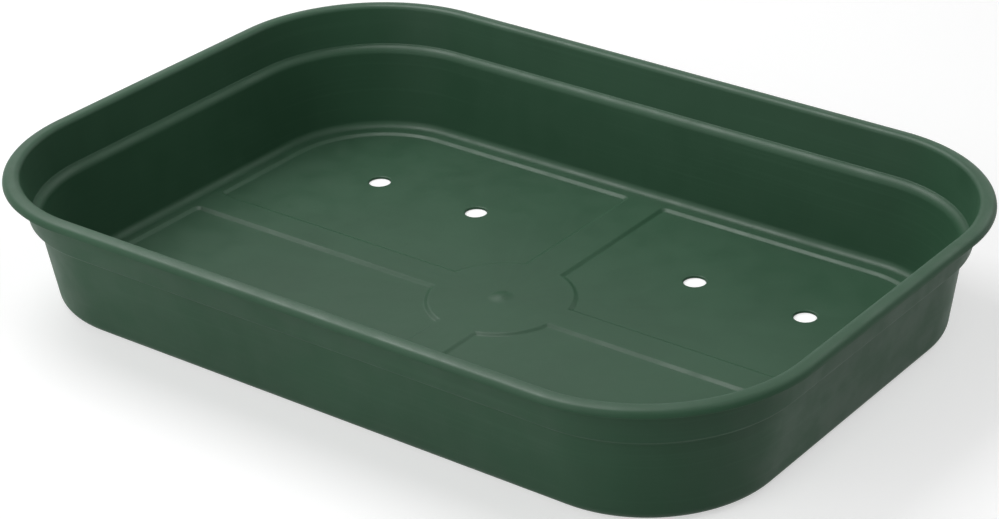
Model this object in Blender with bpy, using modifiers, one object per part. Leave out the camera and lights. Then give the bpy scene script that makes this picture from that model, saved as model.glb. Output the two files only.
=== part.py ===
"""Plant growing tray: one moulded shell with a turned-down lip, a ledge in its wall and drain holes.

Lengths are in metres and +Z is up. The tray stands on Z = 0, with its middle on the Z axis and its length
along X.
"""

import math

import bmesh
import bpy
from mathutils import Matrix, Vector

# Whole tray
LENGTH = 0.520  # over the lip, along X
WIDTH = 0.360  # over the lip, along Y
HEIGHT = 0.080  # from the ground to the top of the lip
CORNER_RADIUS = 0.099  # of the lip's outer face, seen from above
WALL = 0.0016  # thickness of the moulding everywhere

# Lip
LIP_WIDTH = 0.0094  # from its outer face to the upper wall
LIP_DROP = 0.0045  # from its top to the lower edge of its outer face
LIP_CROWN_WIDTH = 0.0046  # from its outer face to where its top is level
LIP_CROWN_DROP = 0.0012  # how far its top falls towards its outer face
LIP_CROWN_ROUND = 0.0114  # of its hollow side
LIP_OUTER_ROUND = 0.0022  # of its hollow side
LIP_INNER_ROUND = 0.0018  # of its hollow side

# Wall, from the lip down to the floor
UPPER_DRAFT = math.radians(9.7)  # lean of the upper wall, from vertical
LEDGE_DEPTH = 0.0246  # from the top of the lip to the crease where the ledge starts
LEDGE_CREASE_ROUND = 0.0006
SHELF_WIDTH = 0.0027  # of the ledge's nearly level part
SHELF_SLOPE = math.radians(10.0)  # below horizontal
SHELF_ROUND = 0.0049  # of its outer side
SHOULDER_WIDTH = 0.0024  # of the ledge's steep part
SHOULDER_SLOPE = math.radians(52.0)  # below horizontal
SHOULDER_ROUND = 0.0044  # of its outer side
LOWER_DRAFT = math.radians(8.5)  # lean of the lower wall, from vertical
FLOOR_ROUND = 0.0052

# Floor: a raised border, cross and hub around four recessed panels
RECESS_DEPTH = 0.0014
RECESS_RUN = 0.0022  # how far a panel's side leans in over its depth
BORDER_WIDTH = 0.0094  # from the foot of the wall to the panels
LONG_ARM_WIDTH = 0.0190  # of the raised bar along X
SHORT_ARM_WIDTH = 0.0242  # of the raised bar along Y
HUB_RADIUS = 0.0417
PANEL_CORNER_RADIUS = 0.0042  # where a bar meets the border
PANEL_RIM = 0.0015  # flat strip round the middle of a panel

# Drain holes, two through each panel
HOLE_DIAMETER = 0.0134
HOLE_SPACING = 0.0754  # between the two holes of one panel, along X
HOLE_SHIFT_X = -0.0005  # of the holes from the middle of their panel, towards the short wall
HOLE_SHIFT_Y = 0.0019  # of the holes from the middle of their panel, towards the long wall

# Low mound that the mould's gate leaves in the middle of the floor
GATE_DIAMETER = 0.0160
GATE_TOP_DIAMETER = 0.0076
GATE_HEIGHT = 0.0013

# Fineness of the round shapes
CORNER_STEPS = 14  # round each corner of the tray
ROUND_STEP = math.radians(20.0)  # largest turn between two points of a rounded section
ROUND_ROOM = 0.98  # most of a straight line that the rounds at its ends may use
PANEL_CORNER_STEPS = 3
HUB_STEP = math.radians(8.0)
CIRCLE_SIDES = 24
CUT_MARGIN = 0.002  # how far a cutter reaches past what it cuts

# Worked out from the sizes above
HALF_LENGTH = LENGTH / 2
HALF_WIDTH = WIDTH / 2
PANEL_TOP = WALL
FLOOR_TOP = PANEL_TOP + RECESS_DEPTH
LEDGE_TOP = HEIGHT - LEDGE_DEPTH
SHOULDER_TOP = LEDGE_TOP - SHELF_WIDTH * math.tan(SHELF_SLOPE)
LOWER_TOP = SHOULDER_TOP - SHOULDER_WIDTH * math.tan(SHOULDER_SLOPE)
LEDGE_INSET = LIP_WIDTH + LEDGE_DEPTH * math.tan(UPPER_DRAFT)
SHOULDER_INSET = LEDGE_INSET + SHELF_WIDTH
LOWER_INSET = SHOULDER_INSET + SHOULDER_WIDTH
FOOT_INSET = LOWER_INSET + (LOWER_TOP - FLOOR_TOP) * math.tan(LOWER_DRAFT)
PANEL_INSET = FOOT_INSET + BORDER_WIDTH
PANEL_END = HALF_LENGTH - PANEL_INSET
PANEL_SIDE = HALF_WIDTH - PANEL_INSET
HOLE_MIDDLE_X = (SHORT_ARM_WIDTH / 2 + PANEL_END) / 2 + HOLE_SHIFT_X
HOLE_Y = (LONG_ARM_WIDTH / 2 + PANEL_SIDE) / 2 + HOLE_SHIFT_Y
GATE_ROOT = WALL / 2
GATE_SPREAD = (GATE_DIAMETER - GATE_TOP_DIAMETER) / 2 / GATE_HEIGHT


def clear_scene():
    for obj in list(bpy.data.objects):
        bpy.data.objects.remove(obj)


def new_collection(name):
    collection = bpy.data.collections.new(name)
    bpy.context.scene.collection.children.link(collection)
    return collection


def mesh_object(name, bm, collection):
    mesh = bpy.data.meshes.new(name)
    bm.to_mesh(mesh)
    bm.free()
    obj = bpy.data.objects.new(name, mesh)
    collection.objects.link(obj)
    return obj


def plastic(name, colour, roughness):
    material = bpy.data.materials.new(name)
    material.use_nodes = True
    shader = material.node_tree.nodes["Principled BSDF"]
    shader.inputs["Base Color"].default_value = (*colour, 1)
    shader.inputs["Roughness"].default_value = roughness
    shader.inputs["Metallic"].default_value = 0
    return material


def corner_turn(before, corner, after):
    return math.pi - (before - corner).angle(after - corner)


def corner_arc(before, corner, after, reach):
    """Points of the arc that rounds a corner. It starts and ends at the distance reach from the corner."""
    back = (before - corner).normalized()
    ahead = (after - corner).normalized()
    turn = corner_turn(before, corner, after)
    steps = max(2, math.ceil(turn / ROUND_STEP))
    centre = corner + (back + ahead).normalized() * (reach / math.sin(turn / 2))
    start = corner + back * reach - centre
    swing = start.angle_signed(corner + ahead * reach - centre)
    return [centre + Matrix.Rotation(-swing * i / steps, 2) @ start for i in range(steps + 1)]


def rounded_line(corners):
    """Points along a line through (point, radius) corners. A radius shrinks where its lines are too short."""
    points = [corner for corner, radius in corners]
    reaches = [0] * len(corners)
    for i in range(1, len(corners) - 1):
        turn = corner_turn(*points[i - 1 : i + 2])
        reaches[i] = corners[i][1] * math.tan(turn / 2)
    for i in range(len(corners) - 1):
        room = (points[i + 1] - points[i]).length * ROUND_ROOM
        share = min(1, room / max(reaches[i] + reaches[i + 1], 1e-9))
        reaches[i] *= share
        reaches[i + 1] *= share

    line = [points[0]]
    for i in range(1, len(corners) - 1):
        line += corner_arc(*points[i - 1 : i + 2], reaches[i])
    line.append(points[-1])
    return line


def wall_section():
    """The wall's inner face, from the lip's lower edge to the floor, as (inset, height).

    An inset is measured from the lip's outer face.
    """
    corners = [
        (Vector((0, HEIGHT - LIP_DROP)), 0),
        (Vector((0, HEIGHT - LIP_CROWN_DROP)), LIP_OUTER_ROUND + WALL),
        (Vector((LIP_CROWN_WIDTH, HEIGHT)), LIP_CROWN_ROUND + WALL),
        (Vector((LIP_WIDTH, HEIGHT)), LIP_INNER_ROUND + WALL),
        (Vector((LEDGE_INSET, LEDGE_TOP)), LEDGE_CREASE_ROUND),
        (Vector((SHOULDER_INSET, SHOULDER_TOP)), SHELF_ROUND + WALL),
        (Vector((LOWER_INSET, LOWER_TOP)), SHOULDER_ROUND + WALL),
        (Vector((FOOT_INSET, FLOOR_TOP)), FLOOR_ROUND),
        (Vector((PANEL_INSET, FLOOR_TOP)), 0),
    ]
    # the last point only gives the floor's direction
    return rounded_line(corners)[:-1]


def sweep_quarter_wall(bm, section):
    """Sweeps the section along half a short side, round a corner and along half a long side."""
    line = [bm.verts.new((HALF_LENGTH - inset, 0, z)) for inset, z in section]
    edges = [bm.edges.new(pair) for pair in zip(line, line[1:])]
    corner = Vector((HALF_LENGTH - CORNER_RADIUS, HALF_WIDTH - CORNER_RADIUS, 0))

    side = bmesh.ops.extrude_edge_only(bm, edges=edges)["geom"]
    verts = [item for item in side if isinstance(item, bmesh.types.BMVert)]
    bmesh.ops.translate(bm, verts=verts, vec=(0, corner.y, 0))

    ends = verts + [item for item in side if isinstance(item, bmesh.types.BMEdge)]
    turned = bmesh.ops.spin(
        bm, geom=ends, cent=corner, axis=(0, 0, 1), angle=math.pi / 2, steps=CORNER_STEPS
    )["geom_last"]

    edges = [item for item in turned if isinstance(item, bmesh.types.BMEdge)]
    side = bmesh.ops.extrude_edge_only(bm, edges=edges)["geom"]
    verts = [item for item in side if isinstance(item, bmesh.types.BMVert)]
    bmesh.ops.translate(bm, verts=verts, vec=(-corner.x, 0, 0))


def arc(centre, radius, start, end, steps):
    angles = [start + (end - start) * i / steps for i in range(steps + 1)]
    return [Vector((centre[0] + radius * math.cos(a), centre[1] + radius * math.sin(a))) for a in angles]


def panel_outline():
    """The top edge of the panel in the +X +Y quarter, anticlockwise from the hub's end of the long bar."""
    long_edge, short_edge = LONG_ARM_WIDTH / 2, SHORT_ARM_WIDTH / 2
    quarter = math.pi / 2
    middle = (HALF_LENGTH - CORNER_RADIUS, HALF_WIDTH - CORNER_RADIUS)
    end_corner = (PANEL_END - PANEL_CORNER_RADIUS, long_edge + PANEL_CORNER_RADIUS)
    side_corner = (short_edge + PANEL_CORNER_RADIUS, PANEL_SIDE - PANEL_CORNER_RADIUS)
    hub_start = math.acos(short_edge / HUB_RADIUS)
    hub_end = math.asin(long_edge / HUB_RADIUS)
    hub_steps = math.ceil((hub_start - hub_end) / HUB_STEP)
    return (
        arc(end_corner, PANEL_CORNER_RADIUS, -quarter, 0, PANEL_CORNER_STEPS)
        + arc(middle, CORNER_RADIUS - PANEL_INSET, 0, quarter, CORNER_STEPS)
        + arc(side_corner, PANEL_CORNER_RADIUS, quarter, math.pi, PANEL_CORNER_STEPS)
        + arc((0, 0), HUB_RADIUS, hub_start, hub_end, hub_steps)
    )


def fill_quarter_floor(bm):
    """Fills the raised floor inside the wall and sinks the panel into it."""
    foot = [
        edge
        for edge in bm.edges
        if edge.is_boundary
        and all(abs(vert.co.z - FLOOR_TOP) < 1e-7 for vert in edge.verts)
    ]
    on_x_axis = min((vert for edge in foot for vert in edge.verts), key=lambda vert: abs(vert.co.y))
    on_y_axis = min((vert for edge in foot for vert in edge.verts), key=lambda vert: abs(vert.co.x))
    centre = bm.verts.new((0, 0, FLOOR_TOP))
    axes = [bm.edges.new((centre, on_x_axis)), bm.edges.new((centre, on_y_axis))]

    outline = [bm.verts.new((*point, FLOOR_TOP)) for point in panel_outline()]
    panel = bm.faces.new(outline)
    bmesh.ops.triangle_fill(
        bm, use_beauty=True, normal=(0, 0, 1), edges=foot + axes + list(panel.edges)
    )
    # the fill covers the panel too, so what lies on it goes
    spare = {
        face
        for edge in panel.edges
        for face in edge.link_faces
        if face is not panel and all(vert in outline for vert in face.verts)
    }
    bmesh.ops.delete(bm, geom=list(spare), context="FACES_ONLY")
    return panel


def tray_quarter():
    bm = bmesh.new()
    sweep_quarter_wall(bm, wall_section())
    panel = fill_quarter_floor(bm)
    bmesh.ops.recalc_face_normals(bm, faces=bm.faces)
    if panel.normal.z < 0:
        bmesh.ops.reverse_faces(bm, faces=bm.faces)
    bmesh.ops.inset_region(
        bm, faces=[panel], thickness=RECESS_RUN, depth=-RECESS_DEPTH, use_even_offset=True
    )
    bmesh.ops.inset_region(bm, faces=[panel], thickness=PANEL_RIM, use_even_offset=True)
    return bm


def hole_cutters():
    """One cylinder for each drain hole, all in one mesh."""
    bm = bmesh.new()
    top = FLOOR_TOP + CUT_MARGIN
    bottom = -CUT_MARGIN
    for side_x in (-1, 1):
        for side_y in (-1, 1):
            for along in (-HOLE_SPACING / 2, HOLE_SPACING / 2):
                x = side_x * (HOLE_MIDDLE_X + along)
                place = Matrix.Translation((x, side_y * HOLE_Y, (top + bottom) / 2))
                bmesh.ops.create_cone(
                    bm,
                    cap_ends=True,
                    segments=CIRCLE_SIDES,
                    radius1=HOLE_DIAMETER / 2,
                    radius2=HOLE_DIAMETER / 2,
                    depth=top - bottom,
                    matrix=place,
                )
    return bm


def gate_mound():
    """A low cone with a flat top. Its foot goes on into the floor so that the two join."""
    bm = bmesh.new()
    depth = GATE_ROOT + GATE_HEIGHT
    bmesh.ops.create_cone(
        bm,
        cap_ends=True,
        segments=CIRCLE_SIDES,
        radius1=GATE_DIAMETER / 2 + GATE_ROOT * GATE_SPREAD,
        radius2=GATE_TOP_DIAMETER / 2,
        depth=depth,
        matrix=Matrix.Translation((0, 0, FLOOR_TOP + GATE_HEIGHT - depth / 2)),
    )
    return bm


def helper(name, bm, collection):
    """An object that only shapes another one."""
    obj = mesh_object(name, bm, collection)
    obj.hide_render = True
    obj.display_type = "WIRE"
    return obj


def add_boolean(obj, name, operation, other):
    modifier = obj.modifiers.new(name, "BOOLEAN")
    modifier.operation = operation
    modifier.solver = "EXACT"
    modifier.object = other


def main():
    clear_scene()
    parts = new_collection("plant_growing_tray")
    cutters = new_collection("cutters")

    tray = mesh_object("growing_tray", tray_quarter(), parts)
    mirror = tray.modifiers.new("both halves", "MIRROR")
    mirror.use_axis = (True, True, False)
    mirror.merge_threshold = 1e-5

    shell = tray.modifiers.new("wall thickness", "SOLIDIFY")
    shell.thickness = WALL
    shell.offset = -1
    shell.use_even_offset = True
    shell.use_quality_normals = True

    add_boolean(tray, "drain holes", "DIFFERENCE", helper("drain_hole_cutters", hole_cutters(), cutters))
    add_boolean(tray, "gate mound", "UNION", helper("gate_mound", gate_mound(), cutters))

    tray.data.materials.append(plastic("dark_green_plastic", (0.026, 0.077, 0.040), 0.49))
    tray.data.shade_smooth()
    tray.data.set_sharp_from_angle(angle=math.radians(30))


main()
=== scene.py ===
"""The look of the plant growing tray: a finer mesh of it, its plastic, a floor, lights and a camera.

Lengths are in metres. The tray stands on Z = 0, with its middle on the Z axis and its length along X.
"""

import math

import bmesh
import bpy
from mathutils import Matrix, Vector, noise
from mathutils.geometry import delaunay_2d_cdt


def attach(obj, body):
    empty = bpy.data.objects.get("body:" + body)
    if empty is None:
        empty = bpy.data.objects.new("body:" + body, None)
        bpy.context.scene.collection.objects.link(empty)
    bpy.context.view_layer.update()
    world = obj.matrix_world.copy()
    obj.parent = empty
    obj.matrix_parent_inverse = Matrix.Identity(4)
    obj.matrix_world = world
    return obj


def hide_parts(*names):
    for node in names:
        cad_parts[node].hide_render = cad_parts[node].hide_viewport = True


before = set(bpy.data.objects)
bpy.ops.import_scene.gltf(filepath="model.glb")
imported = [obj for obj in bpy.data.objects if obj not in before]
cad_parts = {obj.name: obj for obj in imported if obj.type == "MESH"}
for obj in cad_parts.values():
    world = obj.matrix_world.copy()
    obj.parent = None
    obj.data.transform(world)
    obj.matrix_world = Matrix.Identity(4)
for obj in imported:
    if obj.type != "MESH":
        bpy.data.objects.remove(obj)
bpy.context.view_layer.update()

# The moulding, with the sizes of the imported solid. The rounds are those of the face inside the tray
HALF_LENGTH = 0.260
HALF_WIDTH = 0.180
HEIGHT = 0.080
CORNER_RADIUS = 0.099
WALL = 0.0016
LIP_WIDTH = 0.0094
LIP_DROP = 0.0045
LIP_CROWN_WIDTH = 0.0046
LIP_CROWN_DROP = 0.0012
LIP_OUTER_ROUND = 0.0038
LIP_CROWN_ROUND = 0.0130
LIP_INNER_ROUND = 0.0034
UPPER_DRAFT = math.radians(9.7)
LEDGE_DEPTH = 0.0246
LEDGE_CREASE_ROUND = 0.0006
SHELF_WIDTH = 0.0027
SHELF_SLOPE = math.radians(10.0)
SHELF_ROUND = 0.0065
SHOULDER_WIDTH = 0.0024
SHOULDER_SLOPE = math.radians(52.0)
SHOULDER_ROUND = 0.0060
LOWER_DRAFT = math.radians(8.5)
FLOOR_ROUND = 0.0052
PANEL_TOP = 0.0016
RECESS_DEPTH = 0.0014
RECESS_RUN = 0.0022
BORDER_WIDTH = 0.0094
LONG_ARM = 0.0190
SHORT_ARM = 0.0242
HUB_RADIUS = 0.0417
PANEL_CORNER_RADIUS = 0.0042
HOLE_RADIUS = 0.0067
HOLE_SPACING = 0.0754
HOLE_SHIFT_X = -0.0005
HOLE_SHIFT_Y = 0.0019
GATE_RADIUS = 0.0080
GATE_HEIGHT = 0.0013

# What the real moulding has where the solid has a plain edge or face
LIP_END_ROUND = 0.0005
HOLE_FLARE = 0.0008  # of the rounded upper edge of a drain hole
HOLE_BEVEL = 0.0001  # at the lower edge of a drain hole
PANEL_EASE = 0.00055  # from the end of the solid's straight panel side to the end of the curved one
FLAT_STRIP = 0.0003  # level edge of each flat area, which keeps the shading beside it even
WARP = 0.00025  # most that the walls lean in where the moulding has warped
WARP_SCALE = 9  # how closely the warp varies round the tray
WARP_SLICE = 3.7  # level of the noise that the warp is taken from
WEAR_AND_HIGHLIGHT_DEPTH = 0.004  # from the top of the lip down to where its rubbed wear and painted highlight end
CREASE_ANGLE = math.radians(38)  # turn from which an edge is shaded sharp

# Fineness of the mesh
ROUND_STEP = math.radians(7.0)
ROUND_ROOM = 0.98  # most of a straight line that the rounds at its ends may use
LIP_END_STEPS = 8
CORNER_STEPS = 44
SIDE_STEPS = 16
PANEL_SIDE_STEPS = 9
PANEL_CORNER_STEPS = 7
HUB_STEPS = 26
HOLE_STEPS = 56
FLARE_STEPS = 5
GATE_RINGS = 8

# The plastic. A tint is mixed in up to its share, and a larger scale makes finer marks
BASE_DEEP = (0.0220, 0.0680, 0.0350, 1)
BASE_PALE = (0.0270, 0.0800, 0.0420, 1)
PATCH_SCALE = 11.0
FLOW_TINT = (0.0290, 0.0840, 0.0450, 1)
FLOW_SHARE = 0.35
FLOW_SCALE = 1.6
FLOW_TURN = (7.0, 7.0, 7.0)  # how fast the flow marks change round the gate
FLOW_REACH = (5.0, 5.0, 0.0)  # how fast they change away from it
LINE_TINT = (0.0400, 0.1020, 0.0580, 1)
LINE_SHARE = 0.26
LINE_STRETCH = (5.0, 5.0, 420.0)  # makes the machining lines long, level and fine
WORKED_SCALE = 4.5  # of the areas in which they show
SPECK_TINT = (0.0640, 0.1280, 0.0840, 1)
SPECK_SHARE = 0.16
SPECK_SCALE = 620.0
# paler tint for the top of the lip: partly rubbed wear, partly a painted highlight
WEAR_AND_HIGHLIGHT_TINT = (0.0420, 0.0980, 0.0600, 1)
WEAR_AND_HIGHLIGHT_SHARE = 0.4
WEAR_AND_HIGHLIGHT_SCALE = 34.0
ROUGHNESS = 0.49
ROUGHNESS_BELOW = 0.04  # how far it goes below that
ROUGHNESS_ABOVE = 0.05
ROUGHNESS_SCALE = 60.0
WORN_POLISH = 0.04  # how much less rough the plastic is where the lip is rubbed, times the share of the wear and painted highlight
SPECULAR = 0.19
BUMP_UNIT = 0.001  # the heights below are shares of it
GRAIN_HEIGHT = 0.010
GRAIN_SCALE = 2400.0
LINE_HEIGHT = 0.030
SINK_HEIGHT = 0.15
SINK_SCALE = 42.0

# The studio
FLOOR_COLOUR = (0.58, 0.58, 0.58, 1)
FLOOR_ROUGHNESS = 0.9
FLOOR_RADIUS = 6.0
FLOOR_SIDES = 96
FLOOR_DROP = 0.0002  # below the tray, so that the two don't touch
FLOOR_LIFT = 0.56  # added to the floor where it is seen, so that it shows white outside the shadow
SHADOW_REACH = 0.7  # from the middle to where the floor starts to turn plain white
WHITE_REACH = 1.6  # from the middle to where it is
WORLD_LIGHT = 0.08
LAMP_AIM = Vector((0, 0, 0.03))

# Worked out from the sizes above
FLOOR_TOP = PANEL_TOP + RECESS_DEPTH
LEDGE_TOP = HEIGHT - LEDGE_DEPTH
SHOULDER_TOP = LEDGE_TOP - SHELF_WIDTH * math.tan(SHELF_SLOPE)
LOWER_TOP = SHOULDER_TOP - SHOULDER_WIDTH * math.tan(SHOULDER_SLOPE)
LEDGE_INSET = LIP_WIDTH + LEDGE_DEPTH * math.tan(UPPER_DRAFT)
SHOULDER_INSET = LEDGE_INSET + SHELF_WIDTH
LOWER_INSET = SHOULDER_INSET + SHOULDER_WIDTH
FOOT_INSET = LOWER_INSET + (LOWER_TOP - FLOOR_TOP) * math.tan(LOWER_DRAFT)
PANEL_INSET = FOOT_INSET + BORDER_WIDTH
PANEL_END = HALF_LENGTH - PANEL_INSET
PANEL_SIDE = HALF_WIDTH - PANEL_INSET
HOLE_MIDDLE_X = (SHORT_ARM / 2 + PANEL_END) / 2 + HOLE_SHIFT_X
HOLE_Y = (LONG_ARM / 2 + PANEL_SIDE) / 2 + HOLE_SHIFT_Y
# how much further out a panel's edge lies below, so that its side is as thick as the wall
UNDER_SHIFT = WALL * math.tan(math.atan2(RECESS_DEPTH, RECESS_RUN) / 2)

# Camera, fitted to the outlines in the photograph
PHOTO_WIDTH = 999
CAMERA_PLACE = (0.8711, -1.0812, 0.7573)
CAMERA_TILT = math.radians(62.16)
CAMERA_TURN = math.radians(33.23)
CAMERA_ROLL = math.radians(0.18)
CAMERA_FOCAL_PIXELS = 2758.07
CAMERA_SHIFT_PIXELS = -240.08
SENSOR = 36.0


def corner_turn(before, corner, after):
    return math.pi - (before - corner).angle(after - corner)


def corner_arc(before, corner, after, reach):
    """Points of the arc that rounds a corner, from one line at the distance reach to the other."""
    back = (before - corner).normalized()
    ahead = (after - corner).normalized()
    turn = corner_turn(before, corner, after)
    steps = max(2, math.ceil(turn / ROUND_STEP))
    centre = corner + (back + ahead).normalized() * (reach / math.sin(turn / 2))
    start = corner + back * reach - centre
    swing = start.angle_signed(corner + ahead * reach - centre)
    return [centre + Matrix.Rotation(-swing * i / steps, 2) @ start for i in range(steps + 1)]


def rounded_line(corners):
    """Points along a line through (point, radius) corners. A radius shrinks where a line is too short."""
    points = [corner for corner, radius in corners]
    reaches = [0] * len(corners)
    for i in range(1, len(corners) - 1):
        reaches[i] = corners[i][1] * math.tan(corner_turn(*points[i - 1 : i + 2]) / 2)
    for i in range(len(corners) - 1):
        room = (points[i + 1] - points[i]).length * ROUND_ROOM
        share = min(1, room / max(reaches[i] + reaches[i + 1], 1e-9))
        reaches[i] *= share
        reaches[i + 1] *= share
    line = [points[0]]
    for i in range(1, len(corners) - 1):
        line += corner_arc(*points[i - 1 : i + 2], reaches[i])
    line.append(points[-1])
    return line


def upper_section():
    """The wall's upper face from the lip's lower edge to the floor, as (inset, height)."""
    corners = [
        (Vector((0, HEIGHT - LIP_DROP)), 0),
        (Vector((0, HEIGHT - LIP_CROWN_DROP)), LIP_OUTER_ROUND),
        (Vector((LIP_CROWN_WIDTH, HEIGHT)), LIP_CROWN_ROUND),
        (Vector((LIP_WIDTH, HEIGHT)), LIP_INNER_ROUND),
        (Vector((LEDGE_INSET, LEDGE_TOP)), LEDGE_CREASE_ROUND),
        (Vector((SHOULDER_INSET, SHOULDER_TOP)), SHELF_ROUND),
        (Vector((LOWER_INSET, LOWER_TOP)), SHOULDER_ROUND),
        (Vector((FOOT_INSET, FLOOR_TOP)), FLOOR_ROUND),
        (Vector((PANEL_INSET, FLOOR_TOP)), 0),
    ]
    # the last point only gives the floor's direction
    return rounded_line(corners)[:-1]


def under_section(upper):
    """The upper face moved through the wall, from the lip's lower edge to the floor."""
    level = Vector((1, 0))
    moved = []
    for i, point in enumerate(upper):
        before = upper[i] - upper[i - 1] if i else upper[1] - upper[0]
        after = upper[i + 1] - upper[i] if i + 1 < len(upper) else level
        along = (before.normalized() + after.normalized()).normalized()
        moved.append(point + Vector((along.y, -along.x)) * (WALL / along.dot(after.normalized())))
    return moved


def lip_end(outer, inner):
    """Rounds the lower edge of the lip between its outer and its inner face."""
    middle = (outer + inner) / 2 + Vector((0, LIP_END_ROUND))
    half = (inner.x - outer.x) / 2
    turns = [math.pi * i / LIP_END_STEPS for i in range(LIP_END_STEPS + 1)]
    return [middle + Vector((-half * math.cos(t), -LIP_END_ROUND * math.sin(t))) for t in turns]


def on_circle(centre, radius, turn):
    return Vector((centre[0] + radius * math.cos(turn), centre[1] + radius * math.sin(turn)))


def arc(centre, radius, start, end, steps):
    return [on_circle(centre, radius, start + (end - start) * i / steps) for i in range(steps + 1)]


def circle(centre, radius):
    return arc(centre, radius, 0, math.tau * (HOLE_STEPS - 1) / HOLE_STEPS, HOLE_STEPS - 1)


def tray_ring(inset):
    """Points round the tray at one inset, with the same count for each inset."""
    points = []
    mid_x, mid_y = HALF_LENGTH - CORNER_RADIUS, HALF_WIDTH - CORNER_RADIUS
    radius = CORNER_RADIUS - inset
    centres = [(mid_x, mid_y), (-mid_x, mid_y), (-mid_x, -mid_y), (mid_x, -mid_y)]
    for quarter, centre in enumerate(centres):
        for i in range(CORNER_STEPS + 1):
            points.append(on_circle(centre, radius, math.pi / 2 * (quarter + i / CORNER_STEPS)))
        start = points[-1]
        end = on_circle(centres[(quarter + 1) % 4], radius, math.pi / 2 * (quarter + 1))
        points += [start.lerp(end, i / SIDE_STEPS) for i in range(1, SIDE_STEPS)]
    return points


def warp(point):
    """How far the moulding has leant in at a point. It grows from the floor up to the lip."""
    rise = max(0.0, point.z - FLOOR_TOP) / HEIGHT
    place = Vector((point.x * WARP_SCALE, point.y * WARP_SCALE, WARP_SLICE))
    return WARP * rise * (0.5 + 0.5 * noise.noise(place))


def ring_verts(bm, points, z):
    return [bm.verts.new((point.x, point.y, z)) for point in points]


def bridge(bm, rings):
    """Quads between each closed ring and the next. All have the same count."""
    for first, second in zip(rings, rings[1:]):
        for i in range(len(first)):
            j = (i + 1) % len(first)
            bm.faces.new((first[i], first[j], second[j], second[i]))


def inside(point, loop):
    """Whether a flat point lies inside a closed loop of vertices."""
    odd = False
    for first, second in zip(loop, loop[1:] + loop[:1]):
        a, b = first.co, second.co
        if (a.y > point.y) != (b.y > point.y):
            if point.x < a.x + (b.x - a.x) * (point.y - a.y) / (b.y - a.y):
                odd = not odd
    return odd


def fill_between(bm, loops):
    """Fills the flat area inside the first loop and outside the others with triangles."""
    verts = [vert for loop in loops for vert in loop]
    edges = []
    start = 0
    for loop in loops:
        edges += [(start + i, start + (i + 1) % len(loop)) for i in range(len(loop))]
        start += len(loop)
    faces = delaunay_2d_cdt([vert.co.xy for vert in verts], edges, [], 1, 1e-7)[2]
    for face in faces:
        corners = [verts[i] for i in face]
        middle = sum((corner.co for corner in corners), Vector()) / 3
        if not any(inside(middle, loop) for loop in loops[1:]):
            bm.faces.new(corners)


def panel_outline(inset, side_x, side_y):
    """A line round one panel, anticlockwise, that lies inside the top edge of its side by an inset."""
    quarter = math.pi / 2
    long_edge, short_edge = LONG_ARM / 2 + inset, SHORT_ARM / 2 + inset
    corner = PANEL_CORNER_RADIUS - inset
    hub = HUB_RADIUS + inset
    middle = (HALF_LENGTH - CORNER_RADIUS, HALF_WIDTH - CORNER_RADIUS)
    end_corner = (PANEL_END - PANEL_CORNER_RADIUS, LONG_ARM / 2 + PANEL_CORNER_RADIUS)
    side_corner = (SHORT_ARM / 2 + PANEL_CORNER_RADIUS, PANEL_SIDE - PANEL_CORNER_RADIUS)
    line = (
        arc(end_corner, corner, -quarter, 0, PANEL_CORNER_STEPS)
        + arc(middle, CORNER_RADIUS - PANEL_INSET - inset, 0, quarter, CORNER_STEPS)
        + arc(side_corner, corner, quarter, math.pi, PANEL_CORNER_STEPS)
        + arc((0, 0), hub, math.acos(short_edge / hub), math.asin(long_edge / hub), HUB_STEPS)
    )
    line = [Vector((point.x * side_x, point.y * side_y)) for point in line]
    return line if side_x * side_y > 0 else line[::-1]


def panel(bm, side_x, side_y, top, shift):
    """The curved side of one panel, from the height top down. Returns its highest and its lowest ring."""
    reach = RECESS_RUN + 2 * PANEL_EASE
    line = [(-FLAT_STRIP, 0)]
    for i in range(PANEL_SIDE_STEPS + 1):
        share = i / PANEL_SIDE_STEPS
        line.append((reach * share, RECESS_DEPTH * share * share * (3 - 2 * share)))
    line.append((reach + FLAT_STRIP, RECESS_DEPTH))
    rings = []
    for along, drop in line:
        points = panel_outline(along - PANEL_EASE - shift, side_x, side_y)
        rings.append(ring_verts(bm, points, top - drop))
    bridge(bm, rings)
    return rings[0], rings[-1]


def drain_holes(bm, side_x, side_y):
    """The sides of one panel's two holes. Returns their rings in the panel's top and in its underside."""
    tops, bottoms = [], []
    for along in (-HOLE_SPACING / 2, HOLE_SPACING / 2):
        centre = (side_x * (HOLE_MIDDLE_X + along), side_y * HOLE_Y)
        widest = HOLE_RADIUS + HOLE_FLARE + FLAT_STRIP
        rings = [ring_verts(bm, circle(centre, widest), PANEL_TOP)]
        for i in range(FLARE_STEPS + 1):
            turn = math.pi / 2 * i / FLARE_STEPS
            radius = HOLE_RADIUS + HOLE_FLARE * (1 - math.sin(turn))
            height = PANEL_TOP - HOLE_FLARE * (1 - math.cos(turn))
            rings.append(ring_verts(bm, circle(centre, radius), height))
        rings.append(ring_verts(bm, circle(centre, HOLE_RADIUS), HOLE_BEVEL))
        rings.append(ring_verts(bm, circle(centre, HOLE_RADIUS + HOLE_BEVEL), 0))
        bridge(bm, rings)
        tops.append(rings[0])
        bottoms.append(rings[-1])
    return tops, bottoms


def gate_mound(bm):
    """The low bell that the mould's gate leaves in the middle of the floor. Returns its outer ring."""
    rings = [ring_verts(bm, circle((0, 0), GATE_RADIUS + FLAT_STRIP), FLOOR_TOP)]
    for i in range(GATE_RINGS):
        radius = GATE_RADIUS * (1 - i / GATE_RINGS)
        rise = GATE_HEIGHT * math.cos(math.pi / 2 * radius / GATE_RADIUS) ** 2
        rings.append(ring_verts(bm, circle((0, 0), radius), FLOOR_TOP + rise))
    bridge(bm, rings)
    bm.faces.new(rings[-1])
    return rings[0]


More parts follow.
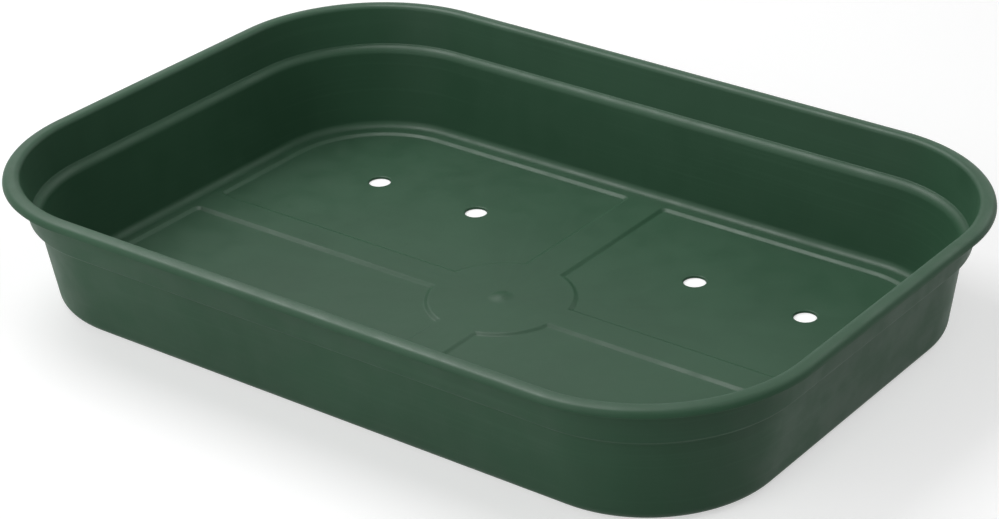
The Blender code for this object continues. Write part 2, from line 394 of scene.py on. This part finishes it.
def tray_mesh():
    """The whole moulding as one closed mesh, with the lip's share of rubbed wear and painted highlight as
    a value on each vertex.
    """
    bm = bmesh.new()
    upper = upper_section()
    upper.append(upper[-1] + Vector((FLAT_STRIP, 0)))
    under = under_section(upper)
    section = upper[:0:-1] + lip_end(upper[0], under[0]) + under[1:]
    rings = [ring_verts(bm, tray_ring(point.x), point.y) for point in section]
    bridge(bm, rings)

    floor_loops, under_loops = [rings[0]], [rings[-1]]
    for side_x in (1, -1):
        for side_y in (1, -1):
            hole_tops, hole_bottoms = drain_holes(bm, side_x, side_y)
            rim, foot = panel(bm, side_x, side_y, FLOOR_TOP, 0)
            fill_between(bm, [foot] + hole_tops)
            floor_loops.append(rim)
            rim, foot = panel(bm, side_x, side_y, FLOOR_TOP - WALL, UNDER_SHIFT)
            fill_between(bm, [foot] + hole_bottoms)
            under_loops.append(rim)
    floor_loops.append(gate_mound(bm))
    fill_between(bm, floor_loops)
    fill_between(bm, under_loops)

    wear_and_highlight_layer = bm.verts.layers.float.new("wear_and_highlight")
    for vert in bm.verts:
        outward = Vector((vert.co.x, vert.co.y * HALF_LENGTH / HALF_WIDTH, 0)).normalized()
        # share of the lip's rubbed wear and painted highlight, growing towards the top of the lip
        vert[wear_and_highlight_layer] = max(0.0, min(1.0, (vert.co.z - HEIGHT + WEAR_AND_HIGHLIGHT_DEPTH) / WEAR_AND_HIGHLIGHT_DEPTH))
        vert.co -= outward * warp(vert.co)
    bmesh.ops.recalc_face_normals(bm, faces=bm.faces)
    mesh = bpy.data.meshes.new("growing_tray_moulding")
    bm.to_mesh(mesh)
    bm.free()
    mesh.shade_smooth()
    mesh.set_sharp_from_angle(angle=CREASE_ANGLE)
    return mesh


class Nodes:
    """Short calls that add nodes to a node tree and link them."""

    def __init__(self, tree):
        self.tree = tree

    def add(self, kind, **settings):
        node = self.tree.nodes.new(kind)
        for name, value in settings.items():
            setattr(node, name, value)
        return node

    def put(self, value, socket):
        if isinstance(value, bpy.types.NodeSocket):
            self.tree.links.new(value, socket)
        else:
            socket.default_value = value

    def math(self, operation, *values):
        node = self.add("ShaderNodeMath", operation=operation)
        for value, socket in zip(values, node.inputs):
            self.put(value, socket)
        return node.outputs[0]

    def vector(self, operation, *values):
        node = self.add("ShaderNodeVectorMath", operation=operation)
        for value, socket in zip(values, node.inputs):
            self.put(value, socket)
        return node.outputs[0]

    def noise(self, place, scale, detail=2.0, roughness=0.5):
        node = self.add("ShaderNodeTexNoise")
        self.put(place, node.inputs["Vector"])
        node.inputs["Scale"].default_value = scale
        node.inputs["Detail"].default_value = detail
        node.inputs["Roughness"].default_value = roughness
        return node.outputs["Fac"]

    def span(self, value, low, high, to_low, to_high):
        """Turns the range from low to high into the one from to_low to to_high, with soft ends."""
        node = self.add("ShaderNodeMapRange", interpolation_type="SMOOTHSTEP")
        names = ("Value", "From Min", "From Max", "To Min", "To Max")
        for name, given in zip(names, (value, low, high, to_low, to_high)):
            self.put(given, node.inputs[name])
        return node.outputs["Result"]

    def mix(self, share, first, second):
        """Mixes two colours. The node's inputs 6 and 7 and its output 2 are the ones for colours."""
        node = self.add("ShaderNodeMix", data_type="RGBA")
        for number, given in ((0, share), (6, first), (7, second)):
            self.put(given, node.inputs[number])
        return node.outputs[2]


def plastic():
    """Dark green satin plastic with fine grain, flow marks, faint machining lines and light wear, whose
    paler tint on the lip is also a painted highlight.
    """
    material = bpy.data.materials.new("dark_green_plastic")
    material.use_nodes = True
    nodes = Nodes(material.node_tree)
    shader = material.node_tree.nodes["Principled BSDF"]
    place = nodes.add("ShaderNodeTexCoord").outputs["Object"]

    # broad differences in the pigment
    patches = nodes.noise(place, PATCH_SCALE, 3.0)
    colour = nodes.mix(nodes.span(patches, 0.3, 0.7, 0.0, 1.0), BASE_DEEP, BASE_PALE)

    # flow marks that run out from the gate over the floor
    level = nodes.vector("MULTIPLY", place, (1.0, 1.0, 0.0))
    away = nodes.vector("NORMALIZE", level)
    along = nodes.vector("MULTIPLY_ADD", away, FLOW_TURN, nodes.vector("MULTIPLY", level, FLOW_REACH))
    flow = nodes.noise(along, FLOW_SCALE, 5.0, 0.6)
    colour = nodes.mix(nodes.span(flow, 0.35, 0.75, 0.0, FLOW_SHARE), colour, FLOW_TINT)

    # machining lines of the mould, level round the walls and fainter in some areas
    lines = nodes.noise(nodes.vector("MULTIPLY", place, LINE_STRETCH), 1.0, 3.0, 0.65)
    worked = nodes.span(nodes.noise(place, WORKED_SCALE, 1.0), 0.4, 0.6, 0.4, 1.0)
    line_share = nodes.math("MULTIPLY", nodes.span(lines, 0.50, 0.70, 0.0, LINE_SHARE), worked)
    colour = nodes.mix(line_share, colour, LINE_TINT)

    # paler specks, and the paler top of the lip: partly rubbed wear, partly a painted highlight
    specks = nodes.span(nodes.noise(place, SPECK_SCALE, 2.0), 0.70, 0.80, 0.0, SPECK_SHARE)
    colour = nodes.mix(specks, colour, SPECK_TINT)
    wear_and_highlight_reach = nodes.add("ShaderNodeAttribute", attribute_name="wear_and_highlight").outputs["Fac"]
    uneven = nodes.span(nodes.noise(place, WEAR_AND_HIGHLIGHT_SCALE, 4.0, 0.6), 0.35, 0.75, 0.0, WEAR_AND_HIGHLIGHT_SHARE)
    rubbed_and_highlit = nodes.math("MULTIPLY", wear_and_highlight_reach, uneven)
    colour = nodes.mix(rubbed_and_highlit, colour, WEAR_AND_HIGHLIGHT_TINT)
    nodes.put(colour, shader.inputs["Base Color"])

    cloud = nodes.noise(place, ROUGHNESS_SCALE, 4.0)
    rough = nodes.span(cloud, 0.3, 0.7, ROUGHNESS - ROUGHNESS_BELOW, ROUGHNESS + ROUGHNESS_ABOVE)
    rough = nodes.math("SUBTRACT", rough, nodes.math("MULTIPLY", rubbed_and_highlit, WORN_POLISH))
    nodes.put(rough, shader.inputs["Roughness"])
    shader.inputs["Specular IOR Level"].default_value = SPECULAR

    # grain, machining lines and sink marks as a fine relief
    grain = nodes.math("MULTIPLY", nodes.noise(place, GRAIN_SCALE, 2.0), GRAIN_HEIGHT)
    sinks = nodes.math("MULTIPLY", nodes.noise(place, SINK_SCALE, 2.0), SINK_HEIGHT)
    height = nodes.math("ADD", grain, nodes.math("MULTIPLY", lines, LINE_HEIGHT))
    height = nodes.math("ADD", height, sinks)
    bump = nodes.add("ShaderNodeBump")
    bump.inputs["Strength"].default_value = 1.0
    bump.inputs["Distance"].default_value = BUMP_UNIT
    nodes.put(height, bump.inputs["Height"])
    nodes.put(bump.outputs["Normal"], shader.inputs["Normal"])
    return material


def seen_share(nodes):
    """1 for what the camera sees, straight, in a gloss or through glass, and 0 for light that bounces."""
    rays = nodes.add("ShaderNodeLightPath").outputs
    seen = nodes.math("MAXIMUM", rays["Is Camera Ray"], rays["Is Glossy Ray"])
    return nodes.math("MAXIMUM", seen, rays["Is Transmission Ray"])


def studio_floor():
    """A pale floor that shows white away from the tray and keeps its shadow near it."""
    bm = bmesh.new()
    bmesh.ops.create_circle(bm, cap_ends=True, radius=FLOOR_RADIUS, segments=FLOOR_SIDES)
    mesh = bpy.data.meshes.new("studio_floor")
    bm.to_mesh(mesh)
    bm.free()
    floor = bpy.data.objects.new("studio_floor", mesh)
    floor.location.z = -FLOOR_DROP
    bpy.context.scene.collection.objects.link(floor)

    material = bpy.data.materials.new("pale_floor")
    material.use_nodes = True
    nodes = Nodes(material.node_tree)
    shader = material.node_tree.nodes["Principled BSDF"]
    shader.inputs["Base Color"].default_value = FLOOR_COLOUR
    shader.inputs["Roughness"].default_value = FLOOR_ROUGHNESS
    shader.inputs["Specular IOR Level"].default_value = 0.0
    shader.inputs["Emission Color"].default_value = (1, 1, 1, 1)
    place = nodes.add("ShaderNodeTexCoord").outputs["Object"]
    distance = nodes.add("ShaderNodeVectorMath", operation="LENGTH")
    nodes.put(place, distance.inputs[0])
    lift = nodes.span(distance.outputs["Value"], SHADOW_REACH, WHITE_REACH, FLOOR_LIFT, 1.0)
    nodes.put(nodes.math("MULTIPLY", lift, seen_share(nodes)), shader.inputs["Emission Strength"])
    mesh.materials.append(material)


def studio_world():
    """A white surround that gives only a little light."""
    world = bpy.data.worlds.new("studio")
    world.use_nodes = True
    bpy.context.scene.world = world
    nodes = Nodes(world.node_tree)
    background = world.node_tree.nodes["Background"]
    background.inputs["Color"].default_value = (1, 1, 1, 1)
    strength = nodes.span(seen_share(nodes), 0.0, 1.0, WORLD_LIGHT, 1.0)
    nodes.put(strength, background.inputs["Strength"])


def soft_light(name, place, size, power):
    """A square soft light that faces the tray. Its place is in metres and its power in watts."""
    light = bpy.data.lights.new(name, "AREA")
    light.shape = "SQUARE"
    light.size = size
    light.energy = power
    lamp = bpy.data.objects.new(name, light)
    lamp.location = place
    lamp.rotation_euler = (LAMP_AIM - Vector(place)).to_track_quat("-Z", "Y").to_euler()
    bpy.context.scene.collection.objects.link(lamp)
    return lamp


def camera():
    """The photograph's camera. Its lens shift says how far the photograph is cropped to one side."""
    data = bpy.data.cameras.new("camera")
    data.sensor_width = SENSOR
    data.lens = CAMERA_FOCAL_PIXELS / PHOTO_WIDTH * SENSOR
    data.shift_x = CAMERA_SHIFT_PIXELS / PHOTO_WIDTH
    obj = bpy.data.objects.new("camera", data)
    aim = Matrix.Rotation(CAMERA_TURN, 4, "Z") @ Matrix.Rotation(CAMERA_TILT, 4, "X")
    obj.matrix_world = Matrix.Translation(CAMERA_PLACE) @ aim @ Matrix.Rotation(CAMERA_ROLL, 4, "Z")
    bpy.context.scene.collection.objects.link(obj)
    bpy.context.scene.camera = obj


tray = bpy.data.objects.new("growing_tray_moulding", tray_mesh())
bpy.context.scene.collection.objects.link(tray)
tray.data.materials.append(plastic())
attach(tray, "root")
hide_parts("growing_tray")

studio_floor()
studio_world()
soft_light("key_light", (-0.95, 0.18, 1.42), 1.0, 15.5)
soft_light("gloss_light", (-0.65, -0.05, 1.5), 0.8, 28.0).visible_diffuse = False
soft_light("back_gloss_light", (0.3, 1.35, 1.1), 0.9, 7.0).visible_diffuse = False
soft_light("front_light", (-0.5, -1.9, 1.0), 1.8, 24.0)
soft_light("right_light", (1.0, 0.15, 1.6), 1.2, 8.5)
camera()
bpy.context.scene.view_settings.view_transform = "Standard"
